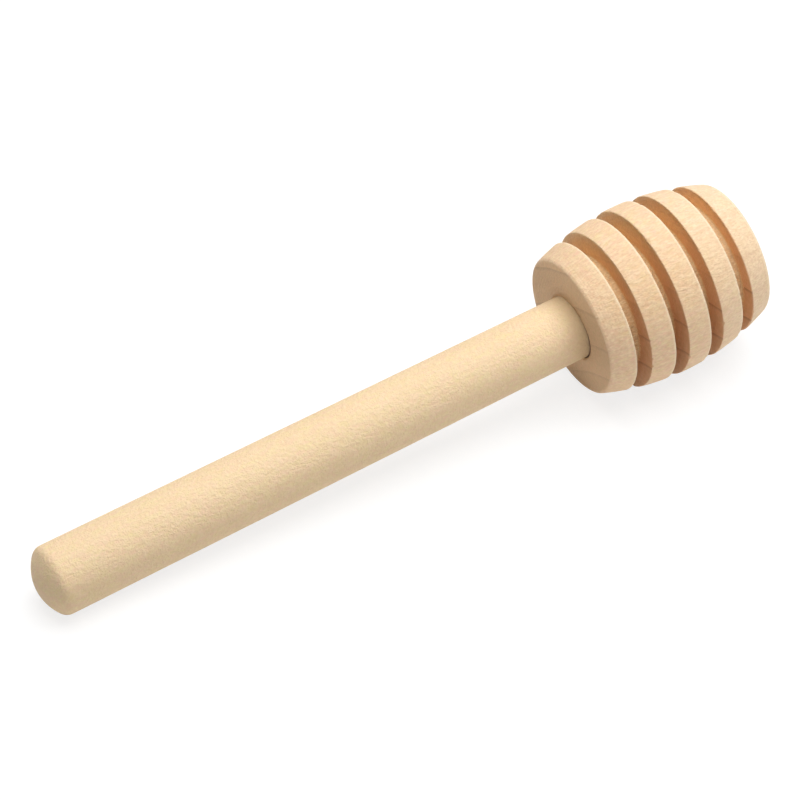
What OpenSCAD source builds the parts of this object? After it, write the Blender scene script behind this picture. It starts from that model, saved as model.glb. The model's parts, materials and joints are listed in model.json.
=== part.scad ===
// Honey dipper: a small turned wooden head on a round dowel handle.
// It lies on a table as it is left after use: the rounded tip of the handle and
// the widest rings of the head touch the table, so the handle rises towards the head.
// Each piece is drawn upright first, with the tip of the handle at height 0 and the
// head above it, and the whole dipper is then laid down along +X.

/* [Handle] */
// Diameter of the dowel near its tip
handle_d = 7.4; // [6.6:0.1:8.6]
// Diameter of the dowel in the head, to which it narrows a little on the way
neck_d = 6.8; // [6:0.1:7.4]
// Length of handle that shows, from its tip to the front face of the head
handle_showing = 61.8; // [45:0.2:110]
// Radius of the shallow dome that closes the tip
tip_dome_r = 5; // [4.6:0.2:16]
// Radius of the rounded edge between the dome and the side
tip_edge_r = 1.2; // [0.4:0.1:2]
// Length of the dowel that is glued inside the head
tenon_len = 12.5; // [8:0.5:14]
// Chamfer on the glued end, which lets the dowel find its hole
tenon_chamfer = 0.5; // [0.2:0.1:1]

/* [Head] */
// Number of rings, with a groove between each two
ring_count = 5; // [4:1:7]
// Width of a ring along the axis
ring_w = 2.7; // [2.2:0.1:3.4]
// Width of the groove between two rings
groove_w = 1.5; // [1:0.1:2.2]
// Width of the last ring, which closes the end and is a little thicker
end_ring_w = 2.9; // [2.4:0.1:4.4]
// Diameter of the head at its widest
head_d = 18.2; // [17:0.2:22]
// Diameter of the front face, where the handle goes in
face_d = 14.8; // [13.9:0.1:16]
// How far the widest place lies in front of the middle of the head
belly_shift = 0.4; // [0:0.1:1]
// Diameter of the core at the bottom of the grooves
core_d = 12.2; // [10.4:0.2:12.8]
// Radius that softens the edges of the rings
ring_edge_r = 0.25; // [0.1:0.05:0.5]
// Radius of the rounded edge at the far end of the head
end_edge_r = 0.8; // [0.6:0.1:2]

/* [Glue joint] */
// Thickness of the glue film, which is the gap between the dowel and its hole
glue_film = 0.1; // [0.05:0.05:0.2]
// Depth of the glue left under the end of the dowel
glue_pool = 0.5; // [0.2:0.1:1]
// How far the glue stops inside the mouth of the hole
glue_setback = 0.6; // [0.3:0.1:1.5]

/* [Smoothness] */
// Facets round a full circle in the preview
facets = 96; // [48:12:180]

/* [Hidden] */
$fn = facets;

handle_r = handle_d / 2;
neck_r = neck_d / 2;
bore_r = neck_r + glue_film;
bore_depth = tenon_len + glue_pool;

ring_pitch = ring_w + groove_w;
head_len = (ring_count - 1) * ring_pitch + end_ring_w;
head_start = handle_showing;

// The outline of the barrel is one arc, through the rim of the front face and
// the widest place. Its centre lies on the far side of the axis.
belly_at = head_len / 2 - belly_shift;
belly_rise = (head_d - face_d) / 2;
barrel_r = (belly_at * belly_at + belly_rise * belly_rise) / (2 * belly_rise);
barrel_z = head_start + belly_at;
barrel_x = head_d / 2 - barrel_r;

// A round edge stands this far proud of the arc that it runs into, so that the two
// cross at a small angle and don't only touch
edge_proud = 0.01;

// Points of the outline are [distance from the axis, height].
// Point of the barrel's arc at height z
function barrel_point(z) = [barrel_x + sqrt(pow(barrel_r, 2) - pow(z - barrel_z, 2)), z];
// Centre of a round edge of radius r under the barrel's arc, at height z
function barrel_edge(r, z) =
    [barrel_x + sqrt(pow(barrel_r - r + edge_proud, 2) - pow(z - barrel_z, 2)), z];
// Direction from the barrel's centre to the centre of a round edge
function barrel_angle(c) = atan2(c[1] - barrel_z, c[0] - barrel_x);
// Angle between that direction and the point where a round edge crosses the arc
function cross_angle(r) = let (d = barrel_r - r + edge_proud)
    acos((d * d + barrel_r * barrel_r - r * r) / (2 * d * barrel_r));
// Height at which a round edge crosses the arc, above its centre or below it
function cross_z(c, r, way) = barrel_z + barrel_r * sin(barrel_angle(c) + way * cross_angle(r));

// The round edge at the tip lies under the dome and touches the side of the dowel
tip_edge = [handle_r - tip_edge_r,
            tip_dome_r - sqrt(pow(tip_dome_r - tip_edge_r + edge_proud, 2)
                              - pow(handle_r - tip_edge_r, 2))];
tip_angle = atan2(tip_edge[1] - tip_dome_r, tip_edge[0]);

// Height of the lower and the upper side of each ring
function ring_low(i) = head_start + i * ring_pitch;
function ring_high(i) = ring_low(i) + (i < ring_count - 1 ? ring_w : end_ring_w);
// Radius of the round edge on the upper side of each ring
function ring_high_r(i) = i < ring_count - 1 ? ring_edge_r : end_edge_r;
function low_edge(i) = barrel_edge(ring_edge_r, ring_low(i) + ring_edge_r);
function high_edge(i) = barrel_edge(ring_high_r(i), ring_high(i) - ring_high_r(i));
// Heights between which a ring has its share of the barrel's arc
function arc_low(i) = cross_z(low_edge(i), ring_edge_r, -1);
function arc_high(i) = cross_z(high_edge(i), ring_high_r(i), 1);

// The table is a straight line that touches the round edge at the tip and the head.
// A whole barrel would touch it at touch_z. Each ring offers the point of its arc
// nearest to that, and the head rests on the one that needs the steepest lean.
function lean_on(c, r) =
    asin((r - tip_edge_r) / norm(c - tip_edge)) - atan2(tip_edge[0] - c[0], c[1] - tip_edge[1]);
touch_z = barrel_z - barrel_r * sin(lean_on([barrel_x, barrel_z], barrel_r));
lean = max([for (i = [0 : ring_count - 1])
    lean_on(barrel_point(min(max(touch_z, arc_low(i)), arc_high(i))), 0)]);

// Where the dipper goes once it leans: down to the table, and centred along X
lift = tip_edge_r + tip_edge[0] * cos(lean) - tip_edge[1] * sin(lean);
tip_reach = tip_dome_r * cos(lean) - tip_dome_r;
end_edge = high_edge(ring_count - 1);
end_reach = end_edge_r + end_edge[1] * cos(lean) + end_edge[0] * sin(lean);

// What a round edge takes off a corner: the wedge between the two directions
// a and b in which it meets its neighbours, less the circle itself.
module corner_waste(c, r, a, b) {
    side = 1.5 * r;
    corner = 2.5 * r;
    translate(c) difference() {
        polygon([[0, 0],
                 side * [cos(a), sin(a)],
                 corner * [cos((a + b) / 2), sin((a + b) / 2)],
                 side * [cos(b), sin(b)]]);
        circle(r);
    }
}

// Outline of the dowel beside the axis: the dome, the narrowing side and the glued end
module handle_outline() {
    tenon_top = head_start + tenon_len;
    difference() {
        union() {
            intersection() {
                translate([0, tip_dome_r]) circle(tip_dome_r);
                square([handle_r, tip_edge[1]]);
            }
            polygon([[0, tip_edge[1]], [handle_r, tip_edge[1]], [neck_r, head_start],
                     [neck_r, tenon_top - tenon_chamfer], [neck_r - tenon_chamfer, tenon_top],
                     [0, tenon_top]]);
        }
        corner_waste(tip_edge, tip_edge_r, tip_angle, 0);
    }
}

// Outline of one ring beside the axis, cut from the barrel
module ring_outline(i) {
    low = low_edge(i);
    high = high_edge(i);
    difference() {
        intersection() {
            translate([barrel_x, barrel_z]) circle(barrel_r, $fn = 4 * facets);
            translate([0, ring_low(i)]) square([head_d, ring_high(i) - ring_low(i)]);
        }
        corner_waste(low, ring_edge_r, barrel_angle(low), -90);
        corner_waste(high, ring_high_r(i), barrel_angle(high), 90);
    }
}

// Outline of the hole for the dowel
module bore_outline(from, to) {
    translate([0, from]) square([bore_r, to - from]);
}

// Outline of the head beside the axis: the rings, the core between them and the hole
module head_outline() {
    over = 1;
    difference() {
        union() {
            for (i = [0 : ring_count - 1]) ring_outline(i);
            translate([0, ring_high(0) - ring_w / 2])
                square([core_d / 2, ring_low(ring_count - 1) - ring_high(0) + ring_w]);
        }
        bore_outline(head_start - over, head_start + bore_depth);
    }
}

module upright_handle() {
    rotate_extrude() handle_outline();
}

module upright_head() {
    rotate_extrude() head_outline();
}

module upright_glue() {
    difference() {
        rotate_extrude() bore_outline(head_start + glue_setback, head_start + bore_depth);
        upright_handle();
    }
}

// Lays an upright piece down on the table
module lay_down() {
    translate([-(tip_reach + end_reach) / 2, 0, lift]) rotate([0, 90 - lean, 0]) children();
}

// Beech or maple dowel, sanded and left bare
module handle() {
    color("#F0D9AC") lay_down() upright_handle();
}

// Turned head with its ring grooves and the blind hole for the dowel
module head() {
    color("#EBCB9E") lay_down() upright_head();
}

// Wood glue that holds the dowel in its hole
module glue() {
    color("#D8B878") lay_down() upright_glue();
}

handle();
head();
glue();
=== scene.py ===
# %% [markdown]
# # A small wooden honey dipper
# The dipper is two turned pieces of pale wood: a straight dowel with a domed tip, and a
# barrel-shaped head with five rings, glued on its end. It lies on a table, so its tip and the
# widest rings touch the table and its axis leans up a little towards the head.
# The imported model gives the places. This script gives the pieces their turned surfaces, their
# torn and worn edges, and the grain of the wood.

# %% Load the frame
import json
import math
import random

import bmesh
import bpy
from mathutils import Matrix, Vector, noise


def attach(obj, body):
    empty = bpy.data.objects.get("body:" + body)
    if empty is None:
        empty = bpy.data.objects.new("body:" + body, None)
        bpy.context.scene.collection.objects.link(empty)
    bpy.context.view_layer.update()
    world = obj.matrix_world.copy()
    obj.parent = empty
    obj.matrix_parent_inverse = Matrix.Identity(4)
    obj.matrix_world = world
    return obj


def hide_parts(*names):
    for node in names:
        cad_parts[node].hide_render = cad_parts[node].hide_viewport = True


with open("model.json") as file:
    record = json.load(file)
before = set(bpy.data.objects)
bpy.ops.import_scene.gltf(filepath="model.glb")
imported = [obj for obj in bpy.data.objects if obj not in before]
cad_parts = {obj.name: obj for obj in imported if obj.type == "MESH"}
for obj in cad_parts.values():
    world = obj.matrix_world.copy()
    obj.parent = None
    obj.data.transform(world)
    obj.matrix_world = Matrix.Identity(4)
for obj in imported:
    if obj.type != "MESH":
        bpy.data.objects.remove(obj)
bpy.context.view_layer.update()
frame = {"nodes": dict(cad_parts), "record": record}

# %% [markdown]
# ## Sizes
# Both pieces come off a lathe, so they are easiest to describe beside their own axis, in
# millimetres: a distance from the axis and a height above the tip. The sizes are those of the
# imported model, apart from the small edges of the rings: the edge of the front face is softer
# here, and the others are sharper. The outline of the barrel is one arc, through the rim of the
# front face and the widest place.

# %% Sizes, in millimetres
MM = 0.001
handle_r = 3.7
neck_r = 3.4
handle_showing = 61.8
tip_dome_r = 5.0
tip_edge_r = 1.2
tenon_len = 12.5
tenon_chamfer = 0.5
bore_r = 3.5
bore_depth = 13.0

ring_count = 5
ring_w = 2.7
groove_w = 1.5
end_ring_w = 2.9
head_r = 9.1
face_r = 7.4
core_r = 6.1
belly_shift = 0.4
first_edge_r = 0.45
ring_edge_r = 0.12
end_edge_r = 0.8

tenon_top = handle_showing + tenon_len
ring_pitch = ring_w + groove_w
head_len = (ring_count - 1) * ring_pitch + end_ring_w
whole_len = handle_showing + head_len
belly_at = head_len / 2 - belly_shift
belly_rise = head_r - face_r
barrel_r = (belly_at ** 2 + belly_rise ** 2) / (2 * belly_rise)
barrel_z = handle_showing + belly_at
barrel_x = head_r - barrel_r
print("whole length:", round(whole_len, 2), "mm; radius of the barrel's arc:", round(barrel_r, 2), "mm")

# %% [markdown]
# ## The dipper's own axis
# The pieces are made upright and then laid down by one matrix. The frame gives the end of the
# head and the direction of the axis, and the tip lies a whole length before that end.

# %% The matrix that lays a piece down
mounts = {mount["name"]: mount for mount in frame["record"]["mounts"]}
axis = Vector(mounts["head_end"]["axis"]).normalized()
tip = Vector(mounts["head_end"]["pos_m"]) - axis * whole_len * MM
lean = math.asin(axis.z)
upright_turn = math.pi / 2 - lean
lay_down = Matrix.Translation(tip) @ Matrix.Rotation(upright_turn, 4, "Y") @ Matrix.Scale(MM, 4)
print("lean:", round(math.degrees(lean), 3), "degrees; tip at", [round(v, 4) for v in tip])

# %% [markdown]
# ## Camera
# The photograph was taken from some way off with a long lens, looking down on the dipper from
# the side of its tip. The lens follows from the focal length in pixels, and the place from the
# pixel and the distance of the middle of the head's front face, with no shift and no roll.

# %% Camera
image_px = 800
sensor_mm = 36.0
focal_px = 5000
face_px = (570.8, 327.0)
face_distance = 0.5061
camera_down = math.radians(43.84)
camera_heading = math.radians(58.57)

forward = Vector((math.cos(camera_down) * math.cos(camera_heading),
                  math.cos(camera_down) * math.sin(camera_heading),
                  -math.sin(camera_down)))
right = Vector((math.sin(camera_heading), -math.cos(camera_heading), 0))
up = right.cross(forward)
face_right = (face_px[0] - image_px / 2) / focal_px * face_distance
face_down = (face_px[1] - image_px / 2) / focal_px * face_distance
face_middle = tip + axis * handle_showing * MM

camera_data = bpy.data.cameras.new("camera")
camera_data.sensor_width = sensor_mm
camera_data.lens = sensor_mm * focal_px / image_px
camera_data.clip_start = 0.01
camera = bpy.data.objects.new("camera", camera_data)
bpy.context.scene.collection.objects.link(camera)
camera_turn = Matrix((right, up, -forward)).transposed()
camera.matrix_world = Matrix.Translation(
    face_middle - right * face_right + up * face_down - forward * face_distance
) @ camera_turn.to_4x4()
bpy.context.scene.camera = camera
print("lens:", camera_data.lens, "mm; camera at", [round(v, 3) for v in camera.matrix_world.translation])

# %% [markdown]
# ## Drawing an outline beside the axis
# A turned piece is an outline swept round an axis. The outline itself can be drawn with the
# same tools: a vertex extruded along a line, or spun about the centre of an arc. A small helper
# remembers the last vertex, so an outline reads like the cuts of a lathe tool.

# %% Outline helper
merge_gap = 0.0005


class Outline:
    """A chain of edges in the XZ plane: x is the distance from the axis, z the height."""

    def __init__(self, x, z):
        self.mesh = bmesh.new()
        self.last = self.mesh.verts.new((x, 0, z))

    def line(self, x, z, steps):
        """A straight cut to a point, in even steps."""
        step = (Vector((x, 0, z)) - self.last.co) / steps
        for _ in range(steps):
            made = bmesh.ops.extrude_vert_indiv(self.mesh, verts=[self.last])
            self.last = made["verts"][0]
            bmesh.ops.translate(self.mesh, verts=[self.last], vec=step)

    def arc(self, centre, angle, steps):
        """A round cut about a centre; a positive angle turns from +x towards +z."""
        made = bmesh.ops.spin(self.mesh, geom=[self.last], cent=(centre[0], 0, centre[1]),
                              axis=(0, -1, 0), angle=angle, steps=steps, use_merge=False,
                              use_duplicate=False)
        self.last = next(g for g in made["geom_last"] if isinstance(g, bmesh.types.BMVert))

    def turn(self, segments):
        """Sweeps the outline round the axis and closes the seam and the poles."""
        bmesh.ops.spin(self.mesh, geom=self.mesh.verts[:] + self.mesh.edges[:], cent=(0, 0, 0),
                       axis=(0, 0, 1), angle=2 * math.pi, steps=segments, use_merge=True,
                       use_duplicate=False)
        bmesh.ops.remove_doubles(self.mesh, verts=self.mesh.verts[:], dist=merge_gap)
        bmesh.ops.recalc_face_normals(self.mesh, faces=self.mesh.faces[:])
        return self.mesh

# %% [markdown]
# ## Helpers for every piece
# A finished piece is laid down and keeps its place in its mesh, with its object at the origin,
# so that a pattern on Object coordinates stays where it belongs. Noise for worn wood changes at
# one rate round the axis and at a much lower one along it, because the fibres run that way.

# %% Piece helpers
def finish_piece(turned, name):
    """Lays an upright bmesh down in the frame and makes it an object at the origin."""
    bmesh.ops.transform(turned, matrix=lay_down, verts=turned.verts[:])
    for face in turned.faces:
        face.smooth = True
    mesh = bpy.data.meshes.new(name)
    turned.to_mesh(mesh)
    open_edges = sum(1 for edge in turned.edges if not edge.is_manifold)
    turned.free()
    piece = bpy.data.objects.new(name, mesh)
    bpy.context.scene.collection.objects.link(piece)
    print(name, "faces:", len(mesh.polygons), "open edges:", open_edges)
    return piece


def angle_of(centre, point):
    """Direction from a centre to a point of the outline."""
    return math.atan2(point[1] - centre[1], point[0] - centre[0])


def wood_noise(out, z, across, along, shift=0.0):
    """Noise from -1 to 1 on a turned surface, at one rate across the grain and one along it."""
    return noise.noise(Vector((out.x * across, out.y * across, z * along + shift)))

# %% [markdown]
# ## The dowel handle
# A dowel is milled round, cut to length and tumbled or sanded, which leaves a shallow dome and
# a soft edge at its tip. The outline follows the same order: the dome, the soft edge, the side
# that narrows a little, and the glued end with its chamfer. The side has many short steps, so
# that the marks of the sanding have vertices to move.

# %% Turn the handle
handle_segments = 180
tip_edge_x = handle_r - tip_edge_r
tip_edge_z = tip_dome_r - math.sqrt((tip_dome_r - tip_edge_r) ** 2 - tip_edge_x ** 2)
tip_turn = angle_of((0, tip_dome_r), (tip_edge_x, tip_edge_z))

outline = Outline(0, 0)
outline.arc((0, tip_dome_r), tip_turn + math.pi / 2, steps=14)
outline.arc((tip_edge_x, tip_edge_z), -tip_turn, steps=12)
outline.line(neck_r, handle_showing, steps=236)
outline.line(neck_r, tenon_top - tenon_chamfer, steps=4)
outline.line(neck_r - tenon_chamfer, tenon_top, steps=2)
outline.line(0, tenon_top, steps=3)
handle_mesh = outline.turn(handle_segments)
print("handle rows:", len(handle_mesh.verts) // handle_segments)

# %% [markdown]
# ## Sanding marks on the handle
# The dowel isn't a perfect cylinder: sanding leaves long flats of a hundredth of a millimetre
# that make the light run unevenly, and the fibres stand up by even less. Two kinds of noise move
# the side and the edge of the dome. The dowel also sits a hair to one side in its hole.

# %% Sand the handle
flat_depth = 0.018
highest_flat = 0.2
fibre_height = 0.006
sanded_from_r = handle_r * 0.3
dowel_sits = (0, 0.01, 0)
for vert in handle_mesh.verts:
    side = Vector((vert.co.x, vert.co.y, 0))
    if side.length < sanded_from_r or vert.co.z > handle_showing:
        continue
    out = side.normalized()
    flat = min(wood_noise(out, vert.co.z, across=1.6, along=0.06), highest_flat)
    raised = wood_noise(out, vert.co.z, across=9, along=0.25, shift=40)
    vert.co += out * (flat * flat_depth + raised * fibre_height)

bmesh.ops.translate(handle_mesh, verts=handle_mesh.verts[:], vec=dowel_sits)
handle = finish_piece(handle_mesh, "dowel_handle")
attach(handle, "root")
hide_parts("handle")

# %% [markdown]
# ## The turned head
# The head is one piece of wood: a barrel is turned, four square grooves are plunged into it,
# and the hole for the dowel is drilled into its front face. The cuts follow each other along the
# axis, from the bottom of the hole, over the front face and the rings, to the far end.
# A ring's edge is a small arc that lies under the barrel's arc. Only the outer edge of the front
# face is softer, and the last ring closes with a larger round.

# %% Turn the head
head_segments = 372
mouth_depth = 0.9
barrel = (barrel_x, barrel_z)


def edge_centre(radius, z):
    """Centre of a round edge that touches the barrel's arc from inside, at height z."""
    return (barrel_x + math.sqrt((barrel_r - radius) ** 2 - (z - barrel_z) ** 2), z)


outline = Outline(0, handle_showing + bore_depth)
outline.line(bore_r, handle_showing + bore_depth, steps=2)
outline.line(bore_r, handle_showing + mouth_depth, steps=6)
outline.line(bore_r, handle_showing, steps=6)
for ring in range(ring_count):
    last = ring == ring_count - 1
    low = handle_showing + ring * ring_pitch
    high = low + (end_ring_w if last else ring_w)
    low_r = first_edge_r if ring == 0 else ring_edge_r
    high_r = end_edge_r if last else ring_edge_r
    low_edge = edge_centre(low_r, low + low_r)
    high_edge = edge_centre(high_r, high - high_r)
    outline.line(low_edge[0], low, steps=11)
    outline.arc(low_edge, math.pi / 2 + angle_of(barrel, low_edge), steps=5)
    outline.arc(barrel, angle_of(barrel, high_edge) - angle_of(barrel, low_edge), steps=12)
    outline.arc(high_edge, math.pi / 2 - angle_of(barrel, high_edge), steps=12 if last else 5)
    if last:
        outline.line(0, high, steps=8)
    else:
        outline.line(core_r, high, steps=9)
        outline.line(core_r, high + groove_w, steps=8)
head_mesh = outline.turn(head_segments)
print("head rows and segments:", len(head_mesh.verts) // head_segments, head_segments)

# %% [markdown]
# ## Wear and tear-out on the head
# A plunged groove tears the fibres at its bottom, and more on two sides than on the others. The
# edges of the rings lose small chips, and the front edge of the middle ring has one larger nick.
# The mouth of the hole was squeezed round the dowel and stands open on one side.
# Each kind of wear is a function that says how far a point moves out from the axis.

# %% Wear at the mouth of the hole and in the grooves
mouth_gap = 0.28
mouth_way = Vector((-0.14, -0.99, 0))
mouth_squeeze = 0.07
tear_depth = 0.11
least_tear = 0.35


def mouth_shift(out, z):
    """In all round the dowel, and out on the side where the mouth is open."""
    near_mouth = max(0.0, 1 - (z - handle_showing) / mouth_depth)
    open_side = max(0.0, out.dot(mouth_way)) ** 3
    return near_mouth * (mouth_gap * open_side - mouth_squeeze)


def tear_shift(out, z):
    """In and out at the bottom of a groove, in thin and in wider streaks."""
    torn_side = least_tear + (1 - least_tear) * abs(out.y)
    thin = wood_noise(out, z, across=34, along=0.7)
    wide = wood_noise(out, z, across=14, along=0.35, shift=9)
    return tear_depth * torn_side * (thin + 0.6 * wide)


print("tear depth:", tear_depth, "mm; the mouth opens by", round(mouth_gap - mouth_squeeze, 2), "mm")

# %% [markdown]
# ## Chips and the nick
# A sharp edge across the grain loses small chips. Noise decides where, and only its peaks count,
# so most of the edge stays whole. The nick is one larger chip at a chosen place, deepest in its
# middle. The far end has no chips, because its edge is rounded.

# %% Wear on the edges of the rings
swell_depth = 0.012
chip_depth = 0.20
chip_reach = 0.35
chips_above = 0.22
chips_end_z = whole_len - end_ring_w + 1
nick_depth = 0.22
nick_reach = 0.4
nick_angle = math.radians(180 + 12)
nick_z = handle_showing + 2 * ring_pitch


def chip_shift(out, z):
    """A slow swell of a ring's side, in and out, and chips along its edges."""
    in_ring = (z - handle_showing) % ring_pitch
    edge_gap = min(in_ring, abs(in_ring - ring_w), ring_pitch - in_ring)
    at_edge = max(0.0, 1 - edge_gap / chip_reach) if z < chips_end_z else 0.0
    chip = max(0.0, wood_noise(out, z, across=11, along=0.9) - chips_above)
    swell = wood_noise(out, z, across=5, along=0.3)
    return swell_depth * swell - chip_depth * at_edge * chip


def nick_shift(out, z, radius):
    """In at the one larger nick."""
    away = math.remainder(math.atan2(out.y, out.x) - nick_angle, 2 * math.pi) * radius
    spot = math.hypot(away, z - nick_z) / nick_reach
    return -nick_depth * max(0.0, 1 - spot) ** 1.5


print("nick at", round(nick_z, 2), "mm from the tip,", nick_depth, "mm deep")

# %% [markdown]
# ## Which points wear
# A point's distance from the axis and its height tell what it belongs to: the hole, the bottom
# of a groove, or the skin of the barrel. A hair is a distance too small to count. The walls of
# the grooves, the front face and the flat far end stay as they were cut, apart from the nick,
# which reaches a little way into its wall.

# %% Wear the head
hair = 0.01
skin = 0.12
nick_inward = 0.9
worn = 0
for vert in head_mesh.verts:
    side = Vector((vert.co.x, vert.co.y, 0))
    radius = side.length
    z = vert.co.z
    if radius < bore_r - hair or z > whole_len - hair:
        continue
    out = side.normalized()
    barrel_side = barrel_x + math.sqrt(barrel_r ** 2 - (z - barrel_z) ** 2)
    in_groove = (z - handle_showing) % ring_pitch > ring_w - hair
    shift = 0.0
    if radius < bore_r + hair:
        shift = mouth_shift(out, z)
    elif radius < core_r + hair and in_groove:
        shift = tear_shift(out, z)
    elif radius > barrel_side - skin:
        shift = chip_shift(out, z)
    if radius > barrel_side - nick_inward:
        shift += nick_shift(out, z, radius)
    vert.co += out * shift
    worn += shift != 0.0
print("worn vertices:", worn, "of", len(head_mesh.verts))

head = finish_piece(head_mesh, "turned_head")
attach(head, "root")
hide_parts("head")

# %% [markdown]
# ## Fibres in the grooves
# Torn fibres stand up from the bottom of each groove as pale, short whiskers that lie along the
# grain. Each is a thin three-sided cone, a few faces only, tilted out of the bottom by a random
# angle. The random numbers are seeded, so each run makes the same whiskers.

# %% Whiskers of torn wood
random.seed(11)
fibres_per_groove = 520
fibre_length = (0.35, 0.95)
fibre_r = (0.012, 0.032)
fibre_taper = 0.15
fibre_rise = (2, 16)
fibre_sway = (-14, 14)
uphill_share = 0.6
root_depth = 0.04
wall_room = 0.02
tip_room = 0.1
fibre_mesh = bmesh.new()
for groove in range(ring_count - 1):
    groove_low = handle_showing + groove * ring_pitch + ring_w
    for _ in range(fibres_per_groove):
        around = random.uniform(0, 2 * math.pi)
        length = random.uniform(*fibre_length)
        thick = random.uniform(*fibre_r)
        rise_angle = math.radians(random.uniform(*fibre_rise))
        foot = random.uniform(wall_room, groove_w - tip_room - length * 0.6)
        uphill = random.random() < uphill_share
        sway = math.radians(random.uniform(*fibre_sway))
        made = bmesh.ops.create_cone(fibre_mesh, cap_ends=True, segments=3, radius1=thick,
                                     radius2=thick * fibre_taper, depth=length)
        whisker = made["verts"]
        bmesh.ops.translate(fibre_mesh, verts=whisker, vec=(0, 0, length / 2))
        lean_out = Matrix.Rotation(rise_angle, 4, "Y") @ Matrix.Rotation(sway, 4, "X")
        if not uphill:
            lean_out = Matrix.Rotation(math.pi, 4, "X") @ lean_out
            foot = groove_w - foot
        place = (Matrix.Rotation(around, 4, "Z")
                 @ Matrix.Translation((core_r - root_depth, 0, groove_low + foot)) @ lean_out)
        bmesh.ops.transform(fibre_mesh, matrix=place, verts=whisker)
bmesh.ops.recalc_face_normals(fibre_mesh, faces=fibre_mesh.faces[:])
fibres = finish_piece(fibre_mesh, "groove_fibres")
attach(fibres, "root")

# %% [markdown]
# ## Node helpers
# A wood finish needs many small nodes. One function adds a node, sets its fields and fills its
# inputs with numbers or links. Short forms of it cover arithmetic.

# %% Node helpers
def put(tree, kind, inputs=None, **fields):
    """Adds a node; an input given as a socket is linked, and any other value is set."""
    node = tree.nodes.new(kind)
    for name, value in fields.items():
        setattr(node, name, value)
    for name, value in (inputs or {}).items():
        if isinstance(value, bpy.types.NodeSocket):
            tree.links.new(value, node.inputs[name])
        else:
            node.inputs[name].default_value = value
    return node


def calc(tree, operation, *values):
    """A Math node's result."""
    return put(tree, "ShaderNodeMath", dict(enumerate(values)), operation=operation).outputs[0]


def product(tree, first, *others):
    """Several values multiplied together."""
    for value in others:
        first = calc(tree, "MULTIPLY", first, value)
    return first


def beside_axis(tree, across, down):
    """Distance from an axis, from the two coordinates beside it."""
    squares = calc(tree, "ADD", product(tree, across, across), product(tree, down, down))
    return calc(tree, "SQRT", squares)

# %% [markdown]
# ## Ramps, noise and colours
# A ramp turns a distance or a noise into a mask with soft borders. Many borders lie at an edge of
# the turned shape, so two short forms count from an edge, in millimetres.

# %% Ramps, noise and one colour over another
def ramp(tree, value, start, end, low=0.0, high=1.0):
    """A smooth step from low to high as value goes from start to end."""
    inputs = {0: value, 1: start, 2: end, 3: low, 4: high}
    return put(tree, "ShaderNodeMapRange", inputs, interpolation_type="SMOOTHSTEP").outputs[0]


def rise(tree, value, edge, start, end):
    """From 0 to 1 as value goes from start to end, counted from an edge."""
    return ramp(tree, value, edge + start, edge + end)


def fall(tree, value, edge, start, end):
    """From 1 to 0 as value goes from start to end, counted from an edge."""
    return ramp(tree, value, edge + start, edge + end, 1.0, 0.0)


def stretch(tree, vector, scale):
    """A vector scaled along each of its axes."""
    node = put(tree, "ShaderNodeVectorMath", {0: vector, 1: scale}, operation="MULTIPLY")
    return node.outputs[0]


def noise_of(tree, vector, detail, roughness):
    """Noise of unit size on a vector, from 0 to 1."""
    inputs = {"Vector": vector, "Scale": 1.0, "Detail": detail, "Roughness": roughness}
    return put(tree, "ShaderNodeTexNoise", inputs).outputs[0]


def blend(tree, mask, under, over):
    """One colour over another, where the mask is 1."""
    return put(tree, "ShaderNodeMix", {0: mask, 6: under, 7: over}, data_type="RGBA").outputs[2]

# %% [markdown]
# ## Group helpers
# A pattern that both woods use is built once, as a shader group, and placed in each material.
# Both groups here take a place and put out masks, which go from 0 to 1. Only the tool marks go
# from -1 to 1, because they are a relief.

# %% Group helpers
def new_group(name, numbers=()):
    """A new shader group with a place and some numbers as inputs."""
    tree = bpy.data.node_groups.new(name, "ShaderNodeTree")
    tree.interface.new_socket("Place", in_out="INPUT", socket_type="NodeSocketVector")
    for number in numbers:
        tree.interface.new_socket(number, in_out="INPUT", socket_type="NodeSocketFloat")
    return tree, put(tree, "NodeGroupInput").outputs


def put_out(tree, masks):
    """Names the group's outputs and links a mask to each."""
    for name in masks:
        tree.interface.new_socket(name, in_out="OUTPUT", socket_type="NodeSocketFloat")
    put(tree, "NodeGroupOutput", masks)
    print(tree.name, "nodes:", len(tree.nodes), "outputs:", list(masks))

# %% [markdown]
# ## Year rings
# Grain is a solid pattern: year rings round a pith that lies outside the small blank. The same
# pattern gives arcs on the cut ends and streaks on the sides. It works in millimetres beside the
# dipper's axis. Noise bends the rings a little, and the pith isn't quite in line with the axis.
# A year darkens slowly through its season and ends in a thin line. Far from the pith lies the
# outer wood, which is paler.

# %% Year rings of the grain group
grain, grain_in = new_group("wood_grain", ("Pith across", "Pith down", "Year width", "Shortness"))
bend_mm = 0.9
pith_slope = -0.05
outer_from = 30.0
outer_to = 40.0
place = grain_in["Place"]
bend = put(grain, "ShaderNodeTexNoise", {"Vector": stretch(grain, place, (0.16, 0.16, 0.05)),
                                         "Scale": 1.0, "Detail": 2.0})
bent = put(grain, "ShaderNodeVectorMath", {0: bend.outputs["Color"], 1: (bend_mm,) * 3, 2: place},
           operation="MULTIPLY_ADD").outputs[0]
bent_x, bent_y, bent_z = put(grain, "ShaderNodeSeparateXYZ", {0: bent}).outputs
leaning_x = calc(grain, "ADD", bent_x, calc(grain, "MULTIPLY", bent_z, pith_slope))
from_pith = beside_axis(grain, calc(grain, "SUBTRACT", leaning_x, grain_in["Pith across"]),
                        calc(grain, "SUBTRACT", bent_y, grain_in["Pith down"]))
year = calc(grain, "FRACT", calc(grain, "DIVIDE", from_pith, grain_in["Year width"]))
line_end = fall(grain, year, 1.0, -0.03, 0.0)
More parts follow.
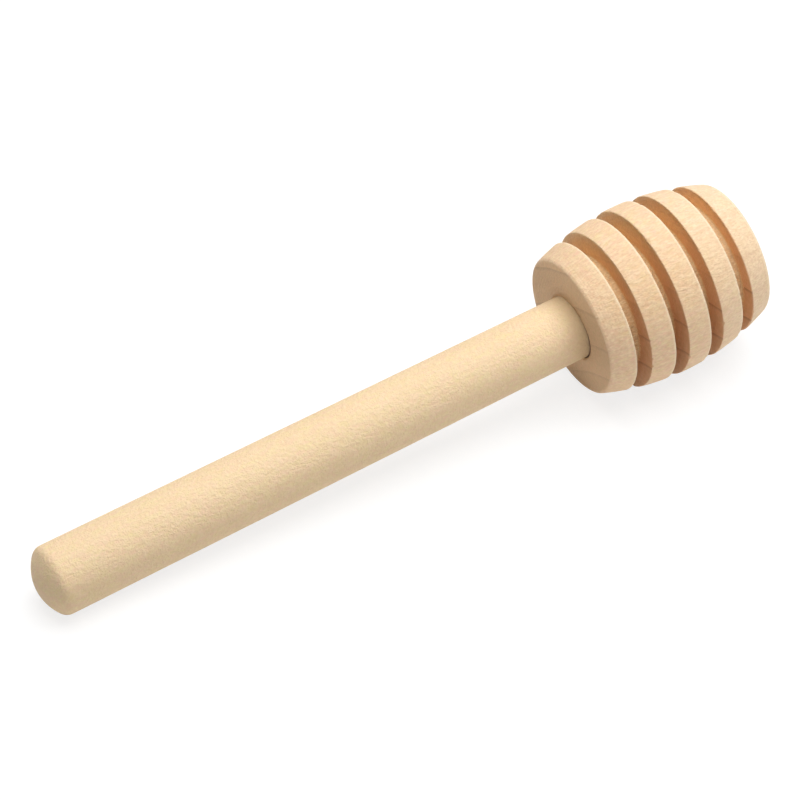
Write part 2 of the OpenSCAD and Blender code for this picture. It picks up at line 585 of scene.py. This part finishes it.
grain_masks = {
    "Years": product(grain, ramp(grain, year, 0.86, 0.96), line_end),
    "Season": product(grain, ramp(grain, year, 0.2, 1.0), line_end),
    "Outer": ramp(grain, from_pith, outer_from, outer_to)}
print("masks from the year rings:", list(grain_masks))

# %% [markdown]
# ## Fibres, pores and flecks
# Fibres are noise drawn out along the axis, and pores are short dashes between them. Mottle,
# blush and tint are soft patches of other tones. Speckle and fine are the small flecks that
# sanding leaves. Shortness squeezes these two along the axis, so they can be round spots on the
# sanded dowel and short streaks on the turned head.

# %% Fibres, pores and flecks of the grain group
def streaks(vector, across, along, detail, roughness, low, high):
    """A noise mask that changes at one rate across the grain and another along it."""
    stretched = stretch(grain, vector, (across, across, along))
    return ramp(grain, noise_of(grain, stretched, detail, roughness), low, high)


shorten = put(grain, "ShaderNodeCombineXYZ", {0: 1.0, 1: 1.0, 2: grain_in["Shortness"]}).outputs[0]
short = stretch(grain, place, shorten)
pores = put(grain, "ShaderNodeTexVoronoi", {"Vector": stretch(grain, bent, (3.0, 3.0, 0.75)),
                                            "Scale": 1.0, "Randomness": 1.0})
grain_masks.update({
    "Fibres": streaks(place, 2.4, 0.14, detail=5.0, roughness=0.62, low=0.34, high=0.66),
    "Dashes": streaks(bent, 3.8, 0.62, detail=4.0, roughness=0.65, low=0.54, high=0.68),
    "Mottle": streaks(place, 0.42, 0.16, detail=3.0, roughness=0.55, low=0.32, high=0.68),
    "Blush": streaks(place, 1.1, 0.7, detail=3.0, roughness=0.6, low=0.35, high=0.65),
    "Tint": streaks(bent, 1.7, 0.9, detail=4.0, roughness=0.75, low=0.36, high=0.64),
    "Speckle": streaks(short, 3.0, 1.1, detail=2.0, roughness=0.6, low=0.34, high=0.66),
    "Fine": streaks(short, 6.0, 2.4, detail=1.0, roughness=0.6, low=0.3, high=0.7),
    "Pores": ramp(grain, pores.outputs["Distance"], 0.10, 0.24, 1.0, 0.0)})
put_out(grain, grain_masks)

# %% [markdown]
# ## Where the head was cut
# The walls of the grooves are end grain: they drink light and look browner than the rings. The
# groove bottoms are torn and pale, with a frayed border to the walls. Both places follow from the
# depth under the barrel's arc, the distance to the axis and the height.

# %% Walls and bottoms of the grooves
zones, zones_in = new_group("turned_zones")
fray_mm = 1.3
spot_x, spot_y, height = put(zones, "ShaderNodeSeparateXYZ", {0: zones_in["Place"]}).outputs
radial = beside_axis(zones, spot_x, spot_y)
off_belly = calc(zones, "SUBTRACT", height, barrel_z)
arc_reach = calc(zones, "SQRT", calc(zones, "SUBTRACT", barrel_r ** 2, product(zones, off_belly, off_belly)))
depth = calc(zones, "SUBTRACT", calc(zones, "ADD", barrel_x, arc_reach), radial)
frayed = noise_of(zones, stretch(zones, zones_in["Place"], (4.4, 4.4, 0.5)), detail=3.0, roughness=0.65)
fray = product(zones, calc(zones, "SUBTRACT", frayed, 0.5), fray_mm)
low_enough = fall(zones, calc(zones, "ADD", radial, fray), core_r, 0.12, 0.42)
cut_in = product(zones, rise(zones, depth, 0.0, 0.015, 0.05), rise(zones, height, handle_showing, 0.4, 0.7),
                 fall(zones, height, whole_len, -0.5, -0.2))
groove_floor = product(zones, cut_in, low_enough)
groove_wall = calc(zones, "SUBTRACT", cut_in, groove_floor)
print("nodes for the grooves:", len(zones.nodes))

# %% [markdown]
# ## Faces, rims and the mouth of the hole
# The front face and the far end are end grain too. The rings' back edges get a thin pale line of
# fibres and a painted highlight, and the mouth of the hole is painted dark as shade. The first ring
# is a little redder, the far rings are paler as painted light, and a turning tool leaves fine marks
# on the faces.

# %% Faces, rims, the mouth of the hole and the tool marks
mark_rate = 17.0
front_face = product(zones, fall(zones, height, handle_showing, 0.02, 0.28),
                     rise(zones, depth, 0.0, 0.02, 0.3))
in_pitch = calc(zones, "MODULO", calc(zones, "SUBTRACT", height, handle_showing - ring_pitch), ring_pitch)
# A pale line on the rings' back edges: partly real fuzz of fibres, partly a painted highlight where the edge
# catches light.
back_rim_fuzz_and_highlight = product(zones, rise(zones, in_pitch, ring_w, -0.34, -0.1), fall(zones, in_pitch, ring_w, 0.0, 0.2),
                   fall(zones, depth, 0.0, 0.12, 0.4))
# Painted shade: the wall of the hole near its mouth is painted dark for the shade in the gap.
in_hole = product(zones, rise(zones, height, handle_showing, 0.0, 0.1),
                  ramp(zones, height, handle_showing + mouth_depth, tenon_top, 1.0, 0.0))
mouth = product(zones, in_hole, fall(zones, radial, bore_r + mouth_gap, 0.05, 0.15))
put_out(zones, {
    "Groove wall": groove_wall, "Groove floor": groove_floor, "Painted mouth shade": mouth,
    "Front face": front_face, "Back rim fuzz and highlight": back_rim_fuzz_and_highlight,
    "Far end": rise(zones, height, whole_len, -0.35, -0.05),
    "First ring": fall(zones, height, handle_showing, 0.3, ring_w),
    # Painted light: paler towards the far end, where the far rings get more light.
    "Far rings painted light": ramp(zones, height, handle_showing + 1.5 * ring_pitch, whole_len),
    "Tool marks": calc(zones, "SINE", product(zones, calc(zones, "ADD", radial, height), mark_rate))})

# %% [markdown]
# ## Materials and their place
# The materials of the dipper work in millimetres beside its axis, so that a pattern has its real
# size and runs through a piece as real grain does. A Mapping node turns Object coordinates that
# way. The table and the world need no place.

# %% Material helpers
def new_material(name):
    """A new node material with its Principled shader."""
    material = bpy.data.materials.new(name)
    material.use_nodes = True
    tree = material.node_tree
    shader = next(n for n in tree.nodes if n.type == "BSDF_PRINCIPLED")
    return material, tree, shader


def wood_place(tree):
    """Object coordinates turned upright and in millimetres, with the tip at the origin."""
    source = put(tree, "ShaderNodeTexCoord").outputs["Object"]
    upright = {"Vector": source, "Location": tip, "Rotation": (0, upright_turn, 0), "Scale": (MM, MM, MM)}
    return put(tree, "ShaderNodeMapping", upright, vector_type="TEXTURE").outputs[0]


def masks_of(tree, shared_group, inputs):
    """A shader group placed in a material; gives its masks by name."""
    return dict(put(tree, "ShaderNodeGroup", inputs, node_tree=shared_group).outputs.items())

# %% [markdown]
# ## Bare wood
# The wood is bare: no oil and no varnish, so it is rough, with only a faint sheen. Both woods are
# made in the same way: a mottled colour with patches of gold and pink, and a list of layers, each
# with the name of a mask, the share of it that counts, and the colour that is laid over.

# %% Layers and relief
wood_sheen = 0.35
bump_strength = 0.6
# Painted shade: the dark colour put in the gap at the mouth of the hole, which lies in shade.
painted_mouth_shade = (0.48, 0.30, 0.22, 1)


def mottled(tree, masks, mottle_tones, tint_tones, tint_share):
    """Two tones of wood in large patches, and a share of two more in small ones."""
    patches = blend(tree, masks["Tint"], *tint_tones)
    return blend(tree, tint_share, blend(tree, masks["Mottle"], *mottle_tones), patches)


def lay_over(tree, colour, masks, layers):
    """Lays colours over a first one in turn, each by a share of the mask it names."""
    for mask, share, over in layers:
        colour = blend(tree, product(tree, masks[mask], share), colour, over)
    return colour


def bump(tree, shader, relief, depth_mm):
    """Feeds a height to the shader's normal, with its depth in millimetres."""
    inputs = {"Strength": bump_strength, "Distance": depth_mm * MM, "Height": relief}
    tree.links.new(put(tree, "ShaderNodeBump", inputs).outputs[0], shader.inputs["Normal"])

# %% [markdown]
# ## Handle wood
# The handle is creamy and even, with round flecks where it was sanded across the fibres. Its
# years and pores hardly show. Just before the head its colour is darkened as painted shade, for
# the shade the head throws on it, and inside the mouth of the hole it is painted dark as shade.

# %% Handle wood
handle_wood, tree, shader = new_material("handle_wood")
vector = wood_place(tree)
masks = masks_of(tree, grain, {"Place": vector, "Pith across": -26.0, "Pith down": 15.0,
                               "Year width": 3.1, "Shortness": 2.4})
along = put(tree, "ShaderNodeSeparateXYZ", {0: vector}).outputs[2]
# Painted shade: the last 2.4 mm of the dowel before the head is darkened for the head's shade.
masks["Painted shade near head"] = rise(tree, along, handle_showing, -2.4, 0.0)
# Painted shade: the dowel inside the mouth of the hole is painted dark for the shade of the gap.
masks["Painted shade in mouth"] = rise(tree, along, handle_showing, 0.0, 0.12)
colour = mottled(tree, masks, [(0.91, 0.68, 0.39, 1), (0.95, 0.73, 0.44, 1)],
                 [(0.90, 0.75, 0.36, 1), (0.98, 0.64, 0.49, 1)], tint_share=0.5)
colour = lay_over(tree, colour, masks, [
    ("Blush", 0.35, (0.94, 0.66, 0.42, 1)),
    ("Fibres", 0.18, (0.86, 0.63, 0.37, 1)),
    ("Years", 0.06, (0.66, 0.44, 0.24, 1)),
    ("Speckle", 0.38, (1.0, 0.82, 0.56, 1)),
    ("Fine", 0.32, (0.78, 0.56, 0.34, 1)),
    ("Pores", 0.08, (0.48, 0.32, 0.18, 1)),
    # painted shade near the head, then the painted shade of the gap inside the mouth
    ("Painted shade near head", 0.55, (0.60, 0.44, 0.24, 1)),
    ("Painted shade in mouth", 1.0, painted_mouth_shade)])
tree.links.new(colour, shader.inputs["Base Color"])
tree.links.new(ramp(tree, masks["Speckle"], 0.0, 1.0, low=0.62, high=0.74), shader.inputs["Roughness"])
relief = calc(tree, "ADD", masks["Speckle"], product(tree, masks["Fine"], 0.7))
bump(tree, shader, relief, depth_mm=0.06)
shader.inputs["Specular IOR Level"].default_value = wood_sheen
print("handle wood nodes:", len(tree.nodes))

# %% [markdown]
# ## Head wood: the sides of the rings
# The head is pinker than the handle, with short streaks along the grain. Where the outer wood
# begins lies a warm band, which is strongest halfway through the change.

# %% Head wood, sides of the rings
head_wood, tree, shader = new_material("head_wood")
vector = wood_place(tree)
masks = masks_of(tree, grain, {"Place": vector, "Pith across": 23.7, "Pith down": -16.9,
                               "Year width": 3.804, "Shortness": 1.0})
masks.update(masks_of(tree, zones, {"Place": vector}))
masks["Warm band"] = product(tree, masks["Outer"], calc(tree, "SUBTRACT", 1.0, masks["Outer"]))
colour = mottled(tree, masks, [(0.92, 0.65, 0.375, 1), (0.96, 0.725, 0.45, 1)],
                 [(0.92, 0.74, 0.36, 1), (0.99, 0.60, 0.47, 1)], tint_share=0.65)
colour = lay_over(tree, colour, masks, [
    ("Blush", 0.50, (0.94, 0.61, 0.41, 1)),
    ("Warm band", 2.2, (0.93, 0.61, 0.32, 1)),
    ("First ring", 0.25, (0.84, 0.56, 0.40, 1)),
    # painted light: the far rings paler, as if more lit
    ("Far rings painted light", 0.50, (1.0, 0.82, 0.61, 1)),
    ("Fibres", 0.28, (0.84, 0.56, 0.33, 1)),
    ("Dashes", 0.26, (0.75, 0.48, 0.28, 1)),
    ("Years", 0.24, (0.68, 0.40, 0.24, 1)),
    ("Speckle", 0.50, (1.0, 0.80, 0.54, 1)),
    ("Fine", 0.44, (0.74, 0.49, 0.28, 1)),
    ("Pores", 0.18, (0.52, 0.31, 0.18, 1))])
print("head wood nodes, sides:", len(tree.nodes))

# %% [markdown]
# ## Head wood: end grain
# The front face and the far end are end grain, brown near the pith and paler in the outer wood,
# with the arcs of the years.

# %% Head wood, front face and far end
face_tint = blend(tree, masks["Outer"], (0.70, 0.48, 0.28, 1), (0.94, 0.65, 0.37, 1))
face_tint = lay_over(tree, face_tint, masks, [
    ("Tint", 0.45, (0.86, 0.52, 0.34, 1)),
    ("Season", 0.20, (0.52, 0.34, 0.20, 1)),
    ("Years", 0.38, (0.46, 0.27, 0.17, 1)),
    ("Speckle", 0.35, (0.60, 0.41, 0.22, 1)),
    ("Fine", 0.30, (0.90, 0.66, 0.40, 1))])
print("head wood nodes, with the faces:", len(tree.nodes))

# %% [markdown]
# ## Head wood: walls of the grooves
# The walls are end grain too, but redder than the front face. Their years are dark near the pith
# and fade towards the outer wood, and so does the tone of their seasons.

# %% Head wood, walls of the grooves
season_share = ramp(tree, masks["Outer"], 0.3, 1.0, low=0.22, high=0.06)
years_share = ramp(tree, masks["Outer"], 0.02, 0.35, low=0.5, high=0.08)
masks["Inner season"] = product(tree, masks["Season"], season_share)
masks["Inner years"] = product(tree, masks["Years"], years_share)
wall_tint = blend(tree, masks["Outer"], (0.66, 0.36, 0.19, 1), (1.0, 0.74, 0.42, 1))
wall_tint = lay_over(tree, wall_tint, masks, [
    ("Warm band", 1.4, (0.76, 0.38, 0.18, 1)),
    # painted light: the walls of the far grooves paler, as if more lit
    ("Far rings painted light", 0.55, (1.0, 0.64, 0.36, 1)),
    ("Inner season", 1.0, (0.50, 0.28, 0.17, 1)),
    ("Tint", 0.26, (0.96, 0.54, 0.34, 1)),
    ("Fine", 0.20, (0.72, 0.48, 0.20, 1)),
    ("Inner years", 1.0, (0.36, 0.17, 0.10, 1)),
    ("Speckle", 0.20, (0.58, 0.30, 0.13, 1))])
print("head wood nodes, with the walls:", len(tree.nodes))

# %% [markdown]
# ## Head wood: groove bottoms, rims and relief
# The bottoms of the grooves are pale torn wood. All the tints are then laid over the sides, each
# where its own zone is, and the painted shade in the mouth of the hole comes last. The relief is that
# of the flecks, and the marks of the tool are added on the cut faces and faintly on the first ring.

# %% Head wood, bottoms of the grooves and all layers together
floor_tint = blend(tree, masks["Dashes"], (0.90, 0.65, 0.35, 1), (1.0, 0.86, 0.55, 1))
floor_tint = lay_over(tree, floor_tint, masks, [
    ("Fine", 0.50, (0.62, 0.40, 0.19, 1)),
    # painted light: the bottoms of the far grooves paler, as if more lit
    ("Far rings painted light", 0.25, (1.0, 0.84, 0.56, 1))])
colour = lay_over(tree, colour, masks, [
    ("Front face", 0.90, face_tint),
    ("Far end", 0.50, face_tint),
    ("Groove wall", 0.96, wall_tint),
    ("Groove floor", 0.85, floor_tint),
    # pale fibres and a painted highlight on the rings' back edges
    ("Back rim fuzz and highlight", 0.60, (1.0, 0.84, 0.60, 1)),
    # painted shade in the mouth of the hole
    ("Painted mouth shade", 1.0, painted_mouth_shade)])
tree.links.new(colour, shader.inputs["Base Color"])
tree.links.new(ramp(tree, masks["Fibres"], 0.0, 1.0, low=0.60, high=0.75), shader.inputs["Roughness"])
flecks = calc(tree, "ADD", masks["Speckle"], product(tree, masks["Fine"], 0.8))
cut_faces = calc(tree, "MAXIMUM", product(tree, masks["First ring"], 0.6),
                 calc(tree, "ADD", masks["Groove wall"], masks["Front face"]))
tool_relief = product(tree, masks["Tool marks"], 0.25, cut_faces)
bump(tree, shader, calc(tree, "ADD", flecks, tool_relief), depth_mm=0.04)
shader.inputs["Specular IOR Level"].default_value = wood_sheen
print("head wood nodes in all:", len(tree.nodes))

# %% [markdown]
# ## The glue
# Wood glue dries to a clear amber skin. Only its edge could be seen, deep in the gap at the mouth
# of the hole, so the CAD solid keeps its shape and gets a smooth amber finish with small bubbles.

# %% Glue material
glue_finish, tree, shader = new_material("dried_glue")
bubble = put(tree, "ShaderNodeTexVoronoi", {"Vector": wood_place(tree), "Scale": 1.6}).outputs["Distance"]
amber = blend(tree, ramp(tree, bubble, 0.05, 0.4), (0.50, 0.32, 0.12, 1), (0.42, 0.25, 0.09, 1))
tree.links.new(amber, shader.inputs["Base Color"])
tree.links.new(ramp(tree, bubble, 0.0, 0.5, low=0.22, high=0.38), shader.inputs["Roughness"])
bump(tree, shader, bubble, depth_mm=0.03)

handle.data.materials.append(handle_wood)
head.data.materials.append(head_wood)
fibres.data.materials.append(head_wood)
glue = frame["nodes"]["glue"]
glue.data.materials.clear()
glue.data.materials.append(glue_finish)
print("materials:", [m.name for m in bpy.data.materials])

# %% [markdown]
# ## The table
# The dipper lies on a plain white table. To the camera the table is a dim grey that glows, so it
# reads white and still keeps the shadow. To light that bounces it is plain white, so it throws as
# much light up under the dipper as a real table does.

# %% Floor
floor_half = 1.5
floor_mesh = bmesh.new()
bmesh.ops.create_grid(floor_mesh, x_segments=1, y_segments=1, size=floor_half)
floor_data = bpy.data.meshes.new("floor")
floor_mesh.to_mesh(floor_data)
floor_mesh.free()
floor = bpy.data.objects.new("floor", floor_data)
bpy.context.scene.collection.objects.link(floor)
print("floor:", 2 * floor_half, "m wide")

# %% White table
table_glow = 0.80
table_grey = (0.26, 0.26, 0.26, 1)
table_white = (0.9, 0.9, 0.9, 1)


def seen_plainly(tree):
    """1 for rays from the camera and for those that mirror or pass through something."""
    path = put(tree, "ShaderNodeLightPath").outputs
    direct = calc(tree, "MAXIMUM", path["Is Camera Ray"], path["Is Glossy Ray"])
    return calc(tree, "MAXIMUM", direct, path["Is Transmission Ray"])


table, tree, shader = new_material("white_table")
plainly = seen_plainly(tree)
tree.links.new(blend(tree, plainly, table_white, table_grey), shader.inputs["Base Color"])
tree.links.new(product(tree, plainly, table_glow), shader.inputs["Emission Strength"])
shader.inputs["Emission Color"].default_value = (1, 1, 1, 1)
shader.inputs["Roughness"].default_value = 0.9
shader.inputs["Specular IOR Level"].default_value = 0.1
floor_data.materials.append(table)
print("table nodes:", len(tree.nodes))

# %% [markdown]
# ## Lamps and world
# One large soft lamp hangs almost overhead, a little beyond the head, so the tops of the rings
# are bright and the faces turned to the camera are in soft shade. A small faint lamp low beside
# the head works as a white card: it lightens the lower side of the far rings. The world is white
# to the camera and adds only a trace of light.

# %% Lamps and world
ambient = 0.025
world = bpy.data.worlds.new("studio")
bpy.context.scene.world = world
world.use_nodes = True
tree = world.node_tree
background = next(n for n in tree.nodes if n.type == "BACKGROUND")
background.inputs["Color"].default_value = (1, 1, 1, 1)
tree.links.new(ramp(tree, seen_plainly(tree), 0.0, 1.0, ambient, 1.0), background.inputs["Strength"])


def lamp(name, place, size, watts, target):
    """A square soft lamp that looks at a target."""
    data = bpy.data.lights.new(name, "AREA")
    data.size = size
    data.energy = watts
    holder = bpy.data.objects.new(name, data)
    holder.location = place
    holder.rotation_euler = (Vector(target) - Vector(place)).to_track_quat("-Z", "Y").to_euler()
    bpy.context.scene.collection.objects.link(holder)
    print(name, "size:", size, "m, watts:", watts)


lamp("overhead_softbox", (0.09, 0.01, 0.49), size=0.55, watts=3.72, target=(0, 0, 0.01))
lamp("white_card", (0.07, -0.06, 0.03), size=0.03, watts=0.0028, target=(0.045, 0, 0.01))
bpy.context.scene.view_settings.view_transform = "Standard"
